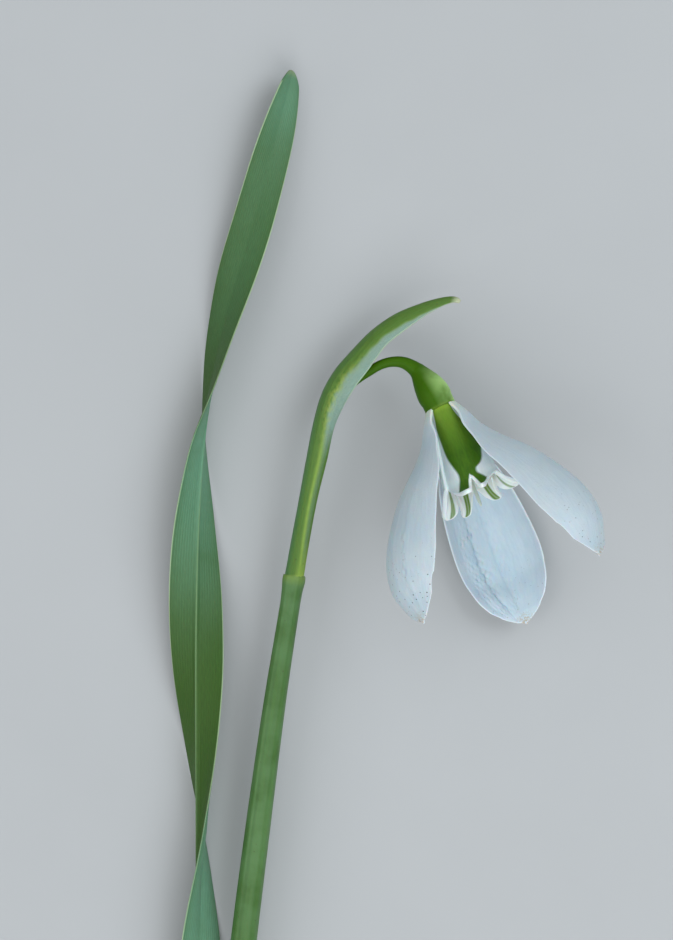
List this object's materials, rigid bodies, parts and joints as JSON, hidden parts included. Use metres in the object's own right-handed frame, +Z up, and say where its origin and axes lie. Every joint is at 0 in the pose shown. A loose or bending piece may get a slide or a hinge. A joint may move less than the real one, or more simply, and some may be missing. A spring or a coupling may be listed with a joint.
{
  "type": "snowdrop flower",
  "caption": "Picked snowdrop lying on its side: one nodding white flower on a green stem with its hooded bract and a long twisted leaf, held by a basal sheath.",
  "frame": {"origin": "on the surface that the flower lies on, below the middle of its outline", "axes": "+Z up from that surface, +Y from the cut end towards the leaf tip, +X towards the side on which the flower hangs"},
  "size_m": [0.0464, 0.1235, 0.0206],
  "materials": {
    "leaf": "waxy blue-green leaf with fine lengthwise veins and pale edges",
    "sheath": "thin pale membrane with fine lengthwise veins",
    "stem": "smooth green stem with a light bloom",
    "spathe": "green keels joined by a translucent pale membrane",
    "pedicel": "smooth bright green stalk",
    "ovary": "smooth satin green",
    "outer_petal": "white translucent petal with faint lengthwise ribs",
    "inner_petal": "white petal with a large green mark",
    "stamen": "orange-yellow anthers on pale filaments",
    "style": "pale green-white"
  },
  "bodies": {
    "root": {"leaf": "leaf", "basal_sheath": "sheath", "scape": "stem", "spathe": "spathe", "pedicel": "pedicel", "ovary": "ovary", "outer_tepal_back": "outer_petal", "outer_tepal_left": "outer_petal", "outer_tepal_right": "outer_petal", "inner_tepal_front": "inner_petal", "inner_tepal_left": "inner_petal", "inner_tepal_right": "inner_petal", "stamens": "stamen", "style": "style"}
  },
  "joints": []
}
